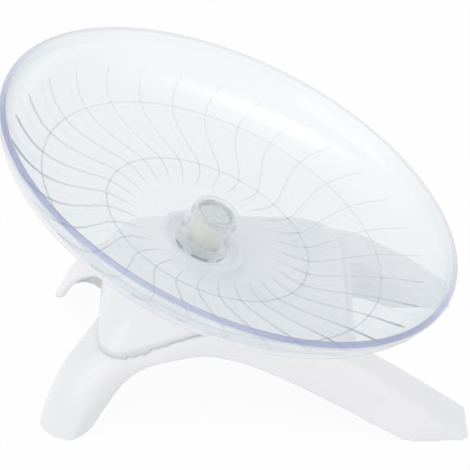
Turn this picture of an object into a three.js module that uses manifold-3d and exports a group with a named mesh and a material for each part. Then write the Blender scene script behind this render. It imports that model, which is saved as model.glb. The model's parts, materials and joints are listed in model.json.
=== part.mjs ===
// A saucer-shaped exercise wheel for small pets. A clear, tilted dish spins on a ball
// bearing in its hub, on a steel pin that stands in a white four-legged stand.
// Units are millimetres, +Z is up, +X is the low side of the dish, Y = 0 is the mirror plane.

import * as THREE from "three";
import { mergeVertices } from "three/addons/utils/BufferGeometryUtils.js";
import Module from "manifold-3d";

const wasm = await Module();
wasm.setup();

// Dish: depths are measured from the rim plane, along the tilted axis, and insets from
// where the crown meets the rim. The rise is that of its floor over the stand's frame.
const dishTiltDegrees = 23;
const dishRise = 19.8;
const rimRadius = 90;
const rimBeadWidth = 3;
const rimBeadHeight = 3.7;
const dishDepth = 27;
const dishWall = 2;
const crownPower = 3;
const crownRootPower = 0.512;

// Swirl ribs and grip rings on the running surface.
const ribCount = 30;
const ribStartRadius = 27;
const ribEndInset = 6.7;
const ribTurnRadius = 48.5;
const ribWidth = 0.9;
const ribHeight = 0.55;
const ribInnerSwayDegrees = -4.4;
const ribOuterSwayDegrees = 5.2;
const ribOuterSwayShare = 0.91;
const ribPhaseDegrees = 4.8;
const outerRingInset = 20.6;
const innerRingRadius = 40.3;
const ringWidth = 0.9;
const ringHeight = 0.4;

// Hub tube of the dish and its snap-in cap.
const hubTopDepth = 18.6;
const hubBottomDepth = 34;
const hubTopRadius = 8.5;
const hubFootRadius = 10.4;
const hubFootHeight = 3;
const hubLipHeight = 2.4;
const hubLipBoreRadius = 4.5;
const capFlangeHeight = 1.6;
const capSkirtWall = 1;
const capRecessDepth = 2.6;
const capFloorWall = 1.2;

// Deep-groove ball bearing, 5 x 14 x 5.
const bearingBoreRadius = 2.5;
const bearingOuterRadius = 7;
const bearingWidth = 5;
const ballRadius = 1.19;
const ballCount = 7;
const ballPitchRadius = 4.75;
const raceShoulderGap = 0.85;
const ballClearance = 0.1;
const cageWall = 0.8;
const cageWidth = 3.1;
const pocketClearance = 0.15;
const shieldThickness = 0.3;
const shieldInset = 0.1;

// Steel pivot pin.
const pinTipRadius = 2.43;
const pinShoulderRadius = 3.4;
const pinShankRadius = 2.8;
const pinShankLength = 12;
const pinTipProud = 1.2;
const pinChamfer = 0.6;

// Stand frame: one arched shell along X, waisted in the middle, with a foot at each corner.
const standWall = 2.4;
const leftToeReach = 73;
const rightToeReach = 86;
const frameHalfWidth = 50;
const frameHeight = 37.5;
const frameCornerRadius = 13;
const windowLeftReach = 33;
const windowRightReach = 30;
const windowHalfWidth = 17;
const windowCornerRadius = 6;
const sideArchHalfWidth = 30;
const sideArchHeight = 30.8;
const sideArchEndReach = 37;
const sideArchFootFlare = 9;
const sideArchFootHeight = 8;
const legSlotReach = 44;
const legSlotHalfWidth = 30;

// Saddle: the upper shell of the stand, with the collar round the hub.
const saddleLeftReachShare = 0.726;
const saddleRightReachShare = 0.5;
const saddleSideInset = 0.3;
const saddleLean = 2.5;
const saddleSink = 4;
const saddlePower = 8;
const saddleSkirtRise = 18;
const saddleLeftWallRise = 28;
const collarRadius = 17;
const collarWall = 3.4;
const collarDrop = 3;
const collarGap = 2;
const wellGap = 2;
const saddleRoof = 2.6;
const pinBossRadius = 6;
const pinBossDepth = 14;
const saddleRibThickness = 1.8;

// Self-tapping screws that hold the saddle on the frame.
const leftScrewReachShare = 0.548;
const rightScrewReachShare = 0.3023;
const screwWindowInset = 5.6;
const screwBossRadius = 3.6;
const screwShankRadius = 1.2;
const screwHeadRadius = 2.2;
const screwHeadHeight = 1.7;
const screwHeadGap = 0.9;
const screwLength = 8;
const screwTaper = 1.2;

// Clearances, and one overrun for every cut.
const seatGap = 0.3;
const seamGap = 0.6;
const cutOverrun = 10;

// Facet counts.
const hubFacets = 32;
const bearingFacets = 24;
const screwFacets = 12;
const pinFacets = 20;
const ballFacets = 8;
const cornerPoints = 5;
const frameStations = 26;
const archPoints = 16;
const saddlePoints = 40;
const saddleRings = 6;

const tilt = THREE.MathUtils.degToRad(dishTiltDegrees);
const rimCentreHeight = frameHeight + dishRise + (dishDepth + dishWall) * Math.cos(tilt);
const crownRadius = rimRadius - rimBeadWidth * 2 / 3;
const ribEndRadius = crownRadius - ribEndInset;
const outerRingRadius = crownRadius - outerRingInset;
const saddleLeftReach = leftToeReach * saddleLeftReachShare;
const saddleRightReach = rightToeReach * saddleRightReachShare;
const leftScrewReach = leftToeReach * leftScrewReachShare;
const rightScrewReach = rightToeReach * rightScrewReachShare;

// Plain closed-mesh helpers.

function meshFromArrays(positions, indices) {
  const geometry = new THREE.BufferGeometry();
  geometry.setAttribute("position", new THREE.Float32BufferAttribute(positions, 3));
  geometry.setIndex(indices);
  return geometry;
}

function signedVolume(geometry) {
  const p = geometry.attributes.position;
  const index = geometry.index;
  const a = new THREE.Vector3();
  const b = new THREE.Vector3();
  const c = new THREE.Vector3();
  let total = 0;
  for (let i = 0; i < index.count; i += 3) {
    a.fromBufferAttribute(p, index.getX(i));
    b.fromBufferAttribute(p, index.getX(i + 1));
    c.fromBufferAttribute(p, index.getX(i + 2));
    total += a.dot(b.cross(c));
  }
  return total;
}

function facedOutwards(geometry) {
  if (signedVolume(geometry) >= 0) return geometry;
  const index = geometry.index;
  for (let i = 0; i < index.count; i += 3) {
    const first = index.getX(i);
    index.setX(i, index.getX(i + 1));
    index.setX(i + 1, first);
  }
  return geometry;
}

// A closed solid through rings of points that all have the same count.
// Open ends get a fan of triangles; a looped loft joins its last ring to its first.
function loft(rings, looped = false) {
  const count = rings[0].length;
  const positions = rings.flat().flatMap((point) => [point.x, point.y, point.z]);
  const indices = [];
  const spans = looped ? rings.length : rings.length - 1;
  for (let ring = 0; ring < spans; ring += 1) {
    const here = ring * count;
    const next = ((ring + 1) % rings.length) * count;
    for (let side = 0; side < count; side += 1) {
      const turn = (side + 1) % count;
      indices.push(here + side, here + turn, next + turn);
      indices.push(here + side, next + turn, next + side);
    }
  }
  if (!looped) {
    addEndFan(positions, indices, rings[0], 0, true);
    addEndFan(positions, indices, rings.at(-1), (rings.length - 1) * count, false);
  }
  return facedOutwards(meshFromArrays(positions, indices));
}

function addEndFan(positions, indices, ring, start, reversed) {
  const centre = new THREE.Vector3();
  ring.forEach((point) => centre.add(point));
  centre.divideScalar(ring.length);
  const middle = positions.length / 3;
  positions.push(centre.x, centre.y, centre.z);
  ring.forEach((point, side) => {
    const here = start + side;
    const turn = start + (side + 1) % ring.length;
    indices.push(...(reversed ? [turn, here, middle] : [here, turn, middle]));
  });
}

function toSolid(geometry) {
  const bare = geometry.clone();
  bare.deleteAttribute("normal");
  bare.deleteAttribute("uv");
  const merged = mergeVertices(bare);
  return new wasm.Manifold(new wasm.Mesh({
    numProp: 3,
    vertProperties: merged.attributes.position.array,
    triVerts: new Uint32Array(merged.index.array),
  }));
}

function toGeometry(solid) {
  const mesh = solid.getMesh();
  const geometry = new THREE.BufferGeometry();
  geometry.setAttribute("position", new THREE.BufferAttribute(mesh.vertProperties.slice(), 3));
  geometry.setIndex(new THREE.BufferAttribute(mesh.triVerts.slice(), 1));
  return geometry;
}

function join(first, ...others) {
  return others.reduce((whole, other) => whole.add(toSolid(other)), toSolid(first));
}

function cut(whole, ...cutters) {
  return cutters.reduce((rest, cutter) => rest.subtract(toSolid(cutter)), whole);
}

// A revolve about +Z of a closed profile of [radius, height] pairs.
function revolve(profile, facets) {
  const points = [...profile, profile[0]].map(([radius, height]) => new THREE.Vector2(radius, height));
  const geometry = new THREE.LatheGeometry(points, facets);
  geometry.rotateX(Math.PI / 2);
  geometry.deleteAttribute("normal");
  geometry.deleteAttribute("uv");
  return facedOutwards(mergeVertices(geometry));
}

// The tilted axis frame: its origin is the rim's centre and its +Z is the spin axis.
const axisFrame = new THREE.Matrix4()
  .makeRotationY(tilt)
  .setPosition(0, 0, rimCentreHeight);

function onAxis(radius, angle, depth) {
  const point = new THREE.Vector3(radius * Math.cos(angle), radius * Math.sin(angle), -depth);
  return point.applyMatrix4(axisFrame);
}

// Running surface: a smooth crown curve, flat in the middle and steep at the rim.
const ribHalfWidth = ribWidth / 2;
const ringHalfWidth = ringWidth / 2;
const beadRadius = rimRadius - rimBeadWidth / 2;

function crownDepth(radius) {
  return dishDepth * (1 - (radius / crownRadius) ** crownPower) ** crownRootPower;
}

function undersidePoint(radius) {
  const step = dishWall / ribCount;
  const slope = (crownDepth(radius + step) - crownDepth(radius - step)) / (step + step);
  const length = Math.hypot(1, slope);
  return { radius: radius - dishWall * slope / length, depth: crownDepth(radius) + dishWall / length };
}

// Each rib sways back near the hub and forward near the wall, like a stretched S.
function ribSway(radius) {
  const inner = (radius - ribStartRadius) / (ribTurnRadius - ribStartRadius);
  const outerSpan = (ribEndRadius - ribTurnRadius) / ribOuterSwayShare;
  const outer = Math.min((radius - ribTurnRadius) / outerSpan, ribOuterSwayShare);
  if (inner <= 0) return 0;
  if (inner < 1) return ribInnerSwayDegrees * Math.sin(Math.PI * inner);
  return ribOuterSwayDegrees * Math.sin(Math.PI * outer);
}

function ringRows(radius) {
  return [
    { radius: radius - ringHalfWidth, lift: 0, ribbed: true },
    { radius, lift: ringHeight, ribbed: true },
    { radius: radius + ringHalfWidth, lift: 0, ribbed: true },
  ];
}

// Rows of the running surface from the hub to the wall.
function runningRows(holeRadius) {
  const between = (low, high, shares) => shares.map((share) => low + (high - low) * share);
  const ribbed = (radius) => ({ radius, lift: 0, ribbed: true });
  const plain = (radius) => ({ radius, lift: 0, ribbed: false });
  const nearHubShares = [0.12, 0.54];
  const midShares = [0.33, 0.68];
  const farShares = [0.5];
  const wallShares = [0.62];
  return [
    plain(holeRadius),
    { radius: ribStartRadius, lift: 0, ribbed: true, end: true },
    ...between(ribStartRadius, innerRingRadius, nearHubShares).map(ribbed),
    ...ringRows(innerRingRadius),
    ...between(innerRingRadius, outerRingRadius, midShares).map(ribbed),
    ...ringRows(outerRingRadius),
    ...between(outerRingRadius, ribEndRadius, farShares).map(ribbed),
    { radius: ribEndRadius, lift: 0, ribbed: true, end: true },
    ...between(ribEndRadius, crownRadius, wallShares).map(plain),
  ];
}

// One ring of dish points. Four columns belong to each rib: its two feet, its crest and
// the middle of the space beside it.
function dishRing(radius, depth, row = { lift: 0, ribbed: false }) {
  const pitch = 2 * Math.PI / ribCount;
  const quarter = pitch / 4;
  const foot = row.ribbed ? Math.min(ribHalfWidth / radius, quarter) : quarter;
  const sway = THREE.MathUtils.degToRad(ribPhaseDegrees + ribSway(radius));
  const crest = row.ribbed && !row.end ? Math.max(ribHeight, row.lift) : row.lift;
  const columns = [
    { turn: -foot, lift: row.lift },
    { turn: 0, lift: crest },
    { turn: foot, lift: row.lift },
    { turn: pitch / 2, lift: row.lift },
  ];
  const ring = [];
  for (let rib = 0; rib < ribCount; rib += 1) {
    columns.forEach(({ turn, lift }) => {
      ring.push(onAxis(radius, rib * pitch + sway + turn, depth - lift));
    });
  }
  return ring;
}

function dishShell(holeRadius) {
  const rings = runningRows(holeRadius).map((row) => dishRing(row.radius, crownDepth(row.radius), row));
  const beadDegrees = [185, 125, 80, 30, -30];
  beadDegrees.forEach((degrees) => {
    const angle = THREE.MathUtils.degToRad(degrees);
    const radius = beadRadius + rimBeadWidth / 2 * Math.cos(angle);
    const depth = rimBeadHeight / 2 * (1 - Math.sin(angle));
    rings.push(dishRing(radius, depth));
  });
  const undersideShares = [0.975, 0.92, 0.8, 0.6, 0.34];
  undersideShares.forEach((share) => {
    const { radius, depth } = undersidePoint(crownRadius * share);
    rings.push(dishRing(radius, depth));
  });
  rings.push(dishRing(holeRadius, dishDepth + dishWall));
  return loft(rings, true);
}

// Hub: a tube through the dish floor, with a lip under the bearing and a flared foot.
const hubBoreRadius = bearingOuterRadius + seatGap;
const bearingSeatDepth = hubBottomDepth - hubLipHeight;
const bearingBottomDepth = bearingSeatDepth - seatGap;
const bearingMidDepth = bearingBottomDepth - bearingWidth / 2;
const bearingTopDepth = bearingBottomDepth - bearingWidth;

function hubTube() {
  const floorRadius = (hubTopRadius + hubFootRadius) / 2;
  const profile = [
    [hubBoreRadius, -hubTopDepth],
    [hubTopRadius, -hubTopDepth],
    [floorRadius, -dishDepth],
    [floorRadius, hubFootHeight - hubBottomDepth],
    [hubFootRadius, hubFootHeight / 2 - hubBottomDepth],
    [hubFootRadius, -hubBottomDepth],
    [hubLipBoreRadius, -hubBottomDepth],
    [hubLipBoreRadius, -bearingSeatDepth],
    [hubBoreRadius, -bearingSeatDepth],
  ];
  return revolve(profile, hubFacets).applyMatrix4(axisFrame);
}

function runningDish() {
  const holeRadius = (hubBoreRadius + hubTopRadius) / 2;
  return toGeometry(join(dishShell(holeRadius), hubTube()));
}

// Cap: a flanged cup that closes the hub; its skirt holds the bearing down on the lip.
function hubCap() {
  const skirtRadius = hubBoreRadius - seatGap;
  const recessRadius = skirtRadius - capSkirtWall;
  const flangeBottom = seatGap - hubTopDepth;
  const top = flangeBottom + capFlangeHeight;
  const recessFloor = top - capRecessDepth;
  const skirtBottom = seatGap - bearingTopDepth;
  const edge = capFlangeHeight / 3;
  const profile = [
    [0, recessFloor],
    [recessRadius, recessFloor],
    [recessRadius, top - edge],
    [recessRadius + edge, top],
    [hubTopRadius - edge, top],
    [hubTopRadius, top - edge],
    [hubTopRadius, flangeBottom],
    [skirtRadius, flangeBottom],
    [skirtRadius, skirtBottom],
    [recessRadius, skirtBottom],
    [recessRadius, recessFloor - capFloorWall],
    [0, recessFloor - capFloorWall],
  ];
  return revolve(profile, hubFacets).applyMatrix4(axisFrame);
}

// Bearing: two grooved races, balls in a pocketed cage, and a shield on each face.
const grooveRadius = ballRadius + ballClearance;
const grooveDegrees = [-46, -16, 16, 46];

function grooveArc(side) {
  return grooveDegrees.map((degrees) => {
    const angle = THREE.MathUtils.degToRad(degrees);
    return [ballPitchRadius + side * grooveRadius * Math.cos(angle), grooveRadius * Math.sin(angle)];
  });
}

function bearingOuterRace() {
  const half = bearingWidth / 2;
  const shoulder = ballPitchRadius + raceShoulderGap;
  const profile = [
    [bearingOuterRadius, -half],
    [bearingOuterRadius, half],
    [shoulder, half],
    ...grooveArc(1).reverse(),
    [shoulder, -half],
  ];
  return revolve(profile, bearingFacets);
}

function bearingInnerRace() {
  const half = bearingWidth / 2;
  const shoulder = ballPitchRadius - raceShoulderGap;
  const profile = [
    [bearingBoreRadius, half],
    [bearingBoreRadius, -half],
    [shoulder, -half],
    ...grooveArc(-1),
    [shoulder, half],
  ];
  return revolve(profile, bearingFacets);
}

function ballCentre(number) {
  const angle = 2 * Math.PI * number / ballCount;
  return new THREE.Vector3(ballPitchRadius * Math.cos(angle), ballPitchRadius * Math.sin(angle), 0);
}

function bearingBall(number) {
  const centre = ballCentre(number);
  return new THREE.SphereGeometry(ballRadius, ballFacets, ballFacets - 2).translate(centre.x, centre.y, centre.z);
}

function bearingCage() {
  const half = cageWidth / 2;
  const inner = ballPitchRadius - cageWall / 2;
  const outer = ballPitchRadius + cageWall / 2;
  const ring = revolve([[inner, -half], [outer, -half], [outer, half], [inner, half]], bearingFacets);
  const pockets = [];
  for (let number = 0; number < ballCount; number += 1) {
    const centre = ballCentre(number);
    const pocket = new THREE.SphereGeometry(ballRadius + pocketClearance, ballFacets, ballFacets - 2);
    pockets.push(pocket.translate(centre.x, centre.y, centre.z));
  }
  return toGeometry(cut(toSolid(ring), ...pockets));
}

function bearingShield(face) {
  const outer = ballPitchRadius + raceShoulderGap - shieldInset;
  const inner = ballPitchRadius - raceShoulderGap + shieldInset + shieldInset;
  const high = bearingWidth / 2 - shieldInset;
  const low = high - shieldThickness;
  return revolve([[inner, face * low], [outer, face * low], [outer, face * high], [inner, face * high]],
    bearingFacets);
}

// Pin: shank in the boss, a shoulder under the inner race and a tip through its bore.
const collarTopDepth = dishDepth + dishWall + collarGap;
const wellFloorDepth = hubBottomDepth + wellGap;

function pivotPin() {
  const shoulderTop = -bearingBottomDepth - seatGap;
  const shoulderBottom = seatGap - wellFloorDepth;
  const tip = pinTipProud - bearingTopDepth;
  const end = -wellFloorDepth - pinShankLength;
  const profile = [
    [0, end],
    [pinShankRadius - pinChamfer, end],
    [pinShankRadius, end + pinChamfer],
    [pinShankRadius, shoulderBottom],
    [pinShoulderRadius, shoulderBottom],
    [pinShoulderRadius, shoulderTop],
    [pinTipRadius, shoulderTop],
    [pinTipRadius, tip - pinChamfer],
    [pinTipRadius - pinChamfer, tip],
    [0, tip],
  ];
  return revolve(profile, pinFacets).applyMatrix4(axisFrame);
}

// Stand frame. Each row pairs a point of the lower edge with one of the top: shares of the
// reach, of the frame's height and of its half width, for the edge and then for the top.
// The last share is of the corner radius.
const leftRowShares = [
  [0.8, -0.21, 0.93, 1.06, -0.2, 1, 1],
  [0.74, 0, 0.92, 1, 0, 1, 1],
  [0.647, 0.277, 0.87, 0.91, 0.355, 0.955, 0.9],
  [0.603, 0.4, 0.845, 0.862, 0.497, 0.91, 0.8],
  [0.553, 0.51, 0.82, 0.774, 0.66, 0.865, 0.65],
  [0.493, 0.592, 0.795, 0.664, 0.805, 0.82, 0.5],
  [0.429, 0.653, 0.78, 0.52, 0.86, 0.78, 0.35],
  [0.3, 0.72, 0.765, 0.335, 0.92, 0.75, 0.3],
  [0.164, 0.757, 0.75, 0.15, 0.985, 0.73, 0.3],
];
const rightRowShares = [
  [0, 0.7, 0.75, 0, 1, 0.74, 0.3],
  [0.151, 0.555, 0.76, 0.17, 0.972, 0.745, 0.3],
  [0.256, 0.448, 0.785, 0.3, 0.925, 0.8, 0.4],
  [0.366, 0.328, 0.82, 0.43, 0.835, 0.87, 0.5],
  [0.465, 0.229, 0.86, 0.54, 0.74, 0.91, 0.55],
  [0.558, 0.144, 0.92, 0.66, 0.57, 0.95, 0.6],
  [0.709, 0, 1, 0.814, 0.31, 1, 0.7],
  [0.79, -0.147, 1.02, 0.919, 0.13, 1, 0.75],
  [0.895, -0.32, 1.03, 1.05, -0.1, 1, 0.75],
];

function frameEdge(first) {
  const place = (reach, row) => new THREE.Vector3(
    reach * row[first], frameHalfWidth * row[first + 2], frameHeight * row[first + 1]);
  const points = [
    ...leftRowShares.map((row) => place(-leftToeReach, row)),
    ...rightRowShares.map((row) => place(rightToeReach, row)),
  ];
  return new THREE.CatmullRomCurve3(points, false, "centripetal");
}

function frameCorner(share) {
  const rows = [...leftRowShares, ...rightRowShares];
  const place = share * (rows.length - 1);
  const row = Math.min(Math.floor(place), rows.length - 2);
  return frameCornerRadius * THREE.MathUtils.lerp(rows[row][6], rows[row + 1][6], place - row);
}

// One cross-section of the frame: upright sides, rounded upper corners, sharp lower edges.
function frameSection(low, top, corner, grow, openBelow) {
  const rise = new THREE.Vector3(top.x - low.x, 0, top.z - low.z);
  const height = rise.length() + grow;
  rise.normalize();
  const radius = corner + grow;
  const at = (across, up) => new THREE.Vector3(low.x, across, low.z).addScaledVector(rise, up);
  const half = [at(low.y + grow, -openBelow)];
  for (let i = 0; i < cornerPoints; i += 1) {
    const angle = Math.PI / 2 * i / (cornerPoints - 1);
    half.push(at(
      top.y + grow - radius + radius * Math.cos(angle),
      height - radius + radius * Math.sin(angle),
    ));
  }
  const otherHalf = half.map((point) => point.clone().setY(-point.y)).reverse();
  return [...half, ...otherHalf];
}

function frameBody(grow = 0, openBelow = 0) {
  const edge = frameEdge(0);
  const top = frameEdge(3);
  const rings = [];
  for (let station = 0; station <= frameStations; station += 1) {
    const share = station / frameStations;
    const [low, high] = [edge.getPoint(share), top.getPoint(share)];
    rings.push(frameSection(low, high, frameCorner(share), grow, openBelow));
  }
  return loft(rings);
}

// A half-elliptical arch along X that opens the frame between its two left legs.
// It spreads towards the floor, so the feet are slim.
function sideArch() {
  const ringAt = (reach) => {
    const ring = [];
    for (let i = 0; i <= archPoints; i += 1) {
      const angle = Math.PI / 2 * (1 - Math.cos(Math.PI * i / archPoints));
      const height = sideArchHeight * Math.sin(angle);
      const flare = sideArchFootFlare * Math.max(0, 1 - height / sideArchFootHeight) ** 2;
      const across = sideArchHalfWidth * Math.cos(angle);
      ring.push(new THREE.Vector3(reach, across + Math.sign(across) * flare, height));
    }
    const halfWidth = sideArchHalfWidth + sideArchFootFlare;
    ring.push(new THREE.Vector3(reach, -halfWidth, -cutOverrun));
    ring.push(new THREE.Vector3(reach, halfWidth, -cutOverrun));
    return ring;
  };
  return loft([ringAt(-leftToeReach - cutOverrun), ringAt(-sideArchEndReach)]);
}

// An upright opening with rounded corners, from floor to top.
function uprightOpening(lowReach, highReach, halfWidth, radius) {
  const shape = new THREE.Shape();
  const quarter = Math.PI / 2;
  shape.absarc(highReach - radius, halfWidth - radius, radius, 0, quarter);
  shape.absarc(lowReach + radius, halfWidth - radius, radius, quarter, Math.PI);
  shape.absarc(lowReach + radius, radius - halfWidth, radius, Math.PI, Math.PI + quarter);
  shape.absarc(highReach - radius, radius - halfWidth, radius, -quarter, 0);
  const options = { depth: rimCentreHeight, bevelEnabled: false, curveSegments: cornerPoints - 1 };
  return new THREE.ExtrudeGeometry(shape, options).translate(0, 0, -rimCentreHeight / 2);
}

function middleWindow(grow) {
  return uprightOpening(-windowLeftReach - grow, windowRightReach + grow,
    windowHalfWidth + grow, windowCornerRadius + grow);
}

function legSlot(grow) {
  return uprightOpening(legSlotReach - grow, rightToeReach + legSlotReach,
    legSlotHalfWidth + grow, windowCornerRadius + grow);
}

// Everything of the legs that would reach below the floor.
function belowFloor() {
  const length = rimRadius * 3;
  const block = new THREE.BoxGeometry(length, length, rimCentreHeight);
  return block.translate(0, 0, -rimCentreHeight / 2);
}

// The point of the frame's top edge over a place on X, by stepping along that edge.
const frameTopPoints = frameEdge(3).getPoints(frameStations * frameStations);

function frameTopAt(reach) {
  const beyond = frameTopPoints.findIndex((point) => point.x > reach);
  const [before, after] = [frameTopPoints[beyond - 1], frameTopPoints[beyond]];
  return before.clone().lerp(after, (reach - before.x) / (after.x - before.x));
}

const screwHalfSpacing = windowHalfWidth + standWall + screwWindowInset;
const screwPlaces = [
  { name: "left_front", reach: -leftScrewReach, across: -screwHalfSpacing },
  { name: "left_back", reach: -leftScrewReach, across: screwHalfSpacing },
  { name: "right_front", reach: rightScrewReach, across: -screwHalfSpacing },
  { name: "right_back", reach: rightScrewReach, across: screwHalfSpacing },
];

// A cylinder on a screw's line, from below the frame's top face up to a height.
function screwCylinder({ reach, across }, radius, high) {
  const low = frameTopAt(reach).z - cutOverrun;
  return new THREE.CylinderGeometry(radius, radius, high - low, screwFacets)
    .rotateX(Math.PI / 2)
    .translate(reach, across, (low + high) / 2);
}

function screwHeadTop({ reach }) {
  return frameTopAt(reach).z - standWall - screwHeadGap;
}

function screwBores() {
  return screwPlaces.map((place) => screwCylinder(
    place, screwShankRadius + seatGap, screwHeadTop(place) + screwLength + seatGap));
}

function standLegs() {
  const hollow = cut(toSolid(frameBody(-standWall, cutOverrun)), middleWindow(standWall), legSlot(standWall));
  const shell = toSolid(frameBody()).subtract(hollow);
  const opened = cut(shell, middleWindow(0), legSlot(0), sideArch(), belowFloor(), ...screwBores());
  return toGeometry(opened);
}

// Saddle: rings from its lower edge, sunk below the frame's top, up to the collar.
// Their points lie closer together round the four corners.
const cornerBunchShare = 0.5;

function saddleEdge(angle, inset) {
  const along = Math.cos(angle);
  const across = Math.sin(angle);
  const size = (Math.abs(along) ** saddlePower + Math.abs(across) ** saddlePower) ** (-1 / saddlePower);
  const reach = along > 0 ? saddleRightReach : saddleLeftReach;
  const x = (reach - inset) * along * size;
  const top = frameTopAt(x);
  return new THREE.Vector3(x, (top.y - saddleSideInset - inset) * across * size, top.z - saddleSink);
}

function saddleRing(share, inset, lowered, roofDrop) {
  const ring = [];
  for (let i = 0; i < saddlePoints; i += 1) {
    const evenAngle = 2 * Math.PI * i / saddlePoints;
    const angle = evenAngle + cornerBunchShare * Math.sin(4 * evenAngle) / 4;
    const low = saddleEdge(angle, inset);
    const wall = saddleEdge(angle, inset + saddleLean);
    const high = onAxis(collarRadius - inset, angle, wellFloorDepth + roofDrop);
    const leftness = Math.max(0, -Math.cos(angle)) ** 2;
    const wallRise = saddleSkirtRise + (saddleLeftWallRise - saddleSkirtRise) * leftness;
    wall.z += wallRise - lowered;
    low.z -= lowered;
    const curve = new THREE.CubicBezierCurve3(
      low,
      wall,
      high.clone().setZ(high.z - collarDrop),
      high,
    );
    ring.push(curve.getPoint(share));
  }
  return ring;
}

function saddleBody(inset, lowered, roofDrop) {
  const rings = [];
  for (let ring = 0; ring <= saddleRings; ring += 1) {
    rings.push(saddleRing(ring / saddleRings, inset, lowered, roofDrop));
  }
  return loft(rings);
}

function collar() {
  const inner = collarRadius - collarWall;
  const low = -wellFloorDepth - saddleRoof / 2;
  const high = -collarTopDepth;
  const edge = collarWall / 4;
  const profile = [[inner, low], [collarRadius, low], [collarRadius, high - edge], [collarRadius - edge, high],
    [inner + edge, high], [inner, high - edge]];
  return revolve(profile, hubFacets).applyMatrix4(axisFrame);
}

function axisCylinder(radius, topDepth, bottomDepth) {
  const profile = [[0, -bottomDepth], [radius, -bottomDepth], [radius, -topDepth], [0, -topDepth]];
  return revolve(profile, pinFacets).applyMatrix4(axisFrame);
}

function saddleRibs() {
  const length = saddleLeftReach + saddleRightReach;
  const bottom = frameHeight + seatGap + seatGap;
  const height = rimCentreHeight - bottom;
  const bossReach = -Math.sin(tilt) * wellFloorDepth;
  const along = new THREE.BoxGeometry(length, saddleRibThickness, height);
  const across = new THREE.BoxGeometry(saddleRibThickness, length, height);
  const middle = bottom + height / 2;
  return [along.translate(0, 0, middle), across.translate(bossReach, 0, middle)];
}

function standSaddle() {
  const outer = toSolid(saddleBody(0, 0, 0));
  const hollow = saddleBody(standWall, cutOverrun, saddleRoof);
  const bosses = screwPlaces.map((place) => screwCylinder(place, screwBossRadius, rimCentreHeight));
  const inside = join(...saddleRibs(), ...bosses).intersect(outer);
  const pinBoss = axisCylinder(pinBossRadius, wellFloorDepth + saddleRoof / 2, wellFloorDepth + pinBossDepth);
  const shell = cut(outer, hollow).add(inside).add(toSolid(pinBoss)).add(toSolid(collar()));
  const finished = cut(
    shell,
    frameBody(seamGap, cutOverrun + cutOverrun),
    axisCylinder(pinShankRadius + seatGap, wellFloorDepth - seatGap, wellFloorDepth + pinBossDepth + cutOverrun),
    ...screwBores(),
  );
  return toGeometry(finished);
}

function saddleScrew(place) {
  const headTop = screwHeadTop(place);
  const tip = headTop + screwLength;
  const profile = [
    [0, headTop - screwHeadHeight],
    [screwHeadRadius, headTop - screwHeadHeight],
    [screwHeadRadius, headTop],
    [screwShankRadius, headTop],
    [screwShankRadius, tip - screwTaper],
    [0, tip],
  ];
  return revolve(profile, screwFacets).translate(place.reach, place.across, 0);
}

// Materials, one for each kind of surface.
function clearPlastic(color, opacity) {
  return new THREE.MeshStandardMaterial({ color, roughness: 0.08, metalness: 0, transparent: true, opacity });
}

function whitePlastic() {
  return new THREE.MeshStandardMaterial({ color: 0xf2f3f4, roughness: 0.28, metalness: 0 });
}

function steel(roughness) {
  return new THREE.MeshStandardMaterial({ color: 0xc9ccce, roughness, metalness: 1 });
}

// Assembly.
const wheel = new THREE.Group();

function addPiece(name, geometry, material, parent = wheel) {
  const mesh = new THREE.Mesh(geometry, material);
  mesh.name = name;
  parent.add(mesh);
}

const bearing = new THREE.Group();
bearing.position.copy(onAxis(0, 0, bearingMidDepth));
bearing.rotation.y = tilt;
wheel.add(bearing);

addPiece("stand_legs", standLegs(), whitePlastic());
addPiece("stand_saddle", standSaddle(), whitePlastic());
screwPlaces.forEach((place) => addPiece(`saddle_screw_${place.name}`, saddleScrew(place), steel(0.35)));
addPiece("pivot_pin", pivotPin(), steel(0.2));
addPiece("bearing_inner_race", bearingInnerRace(), steel(0.15), bearing);
addPiece("bearing_outer_race", bearingOuterRace(), steel(0.15), bearing);
addPiece("bearing_cage", bearingCage(), steel(0.4), bearing);
for (let number = 0; number < ballCount; number += 1) {
  addPiece(`bearing_ball_${number + 1}`, bearingBall(number), steel(0.05), bearing);
}
addPiece("bearing_shield_upper", bearingShield(1), steel(0.3), bearing);
addPiece("bearing_shield_lower", bearingShield(-1), steel(0.3), bearing);
addPiece("running_dish", runningDish(), clearPlastic(0xdfe6f5, 0.35));
addPiece("hub_cap", hubCap(), clearPlastic(0xe4eaf2, 0.45));

// The origin is on the floor, under the middle of the part's box.
const box = new THREE.Box3().setFromObject(wheel);
wheel.position.x = -(box.min.x + box.max.x) / 2;

export default wheel;
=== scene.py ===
# %% [markdown]
# # A tilted saucer exercise wheel
# A shallow clear dish leans over a white four-legged stand and spins on one small ball bearing in its
# hub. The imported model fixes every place, size and joint. This lesson dresses it, one piece or one
# finish at a time, without moving anything.

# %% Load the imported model
import json
import math

import bmesh
import bpy
import numpy as np
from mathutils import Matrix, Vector
from mathutils.bvhtree import BVHTree


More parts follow.
